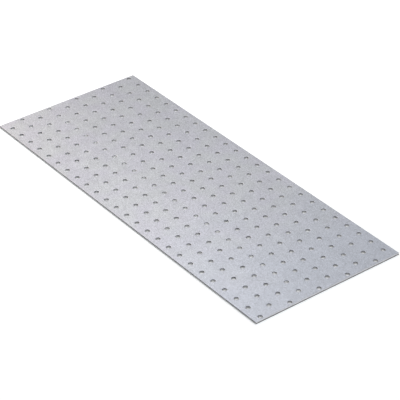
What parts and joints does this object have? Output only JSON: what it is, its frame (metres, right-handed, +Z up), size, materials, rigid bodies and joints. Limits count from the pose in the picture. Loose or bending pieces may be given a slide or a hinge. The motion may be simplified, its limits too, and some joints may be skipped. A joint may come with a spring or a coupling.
{
  "type": "perforated nail plate",
  "caption": "Flat galvanised steel nail plate with staggered rows of round punched holes, for joining and strengthening timber.",
  "frame": {"origin": "middle of the plate, on its underside", "axes": "+X along the plate and its rows of holes, +Y across the rows, +Z up, out of the side that the punch entered"},
  "size_m": [0.5, 0.2, 0.0025],
  "materials": {
    "galvanised_steel": "zinc-coated, matt grey with a fine grain"
  },
  "bodies": {
    "root": {"perforated_plate": "galvanised_steel"}
  },
  "joints": []
}
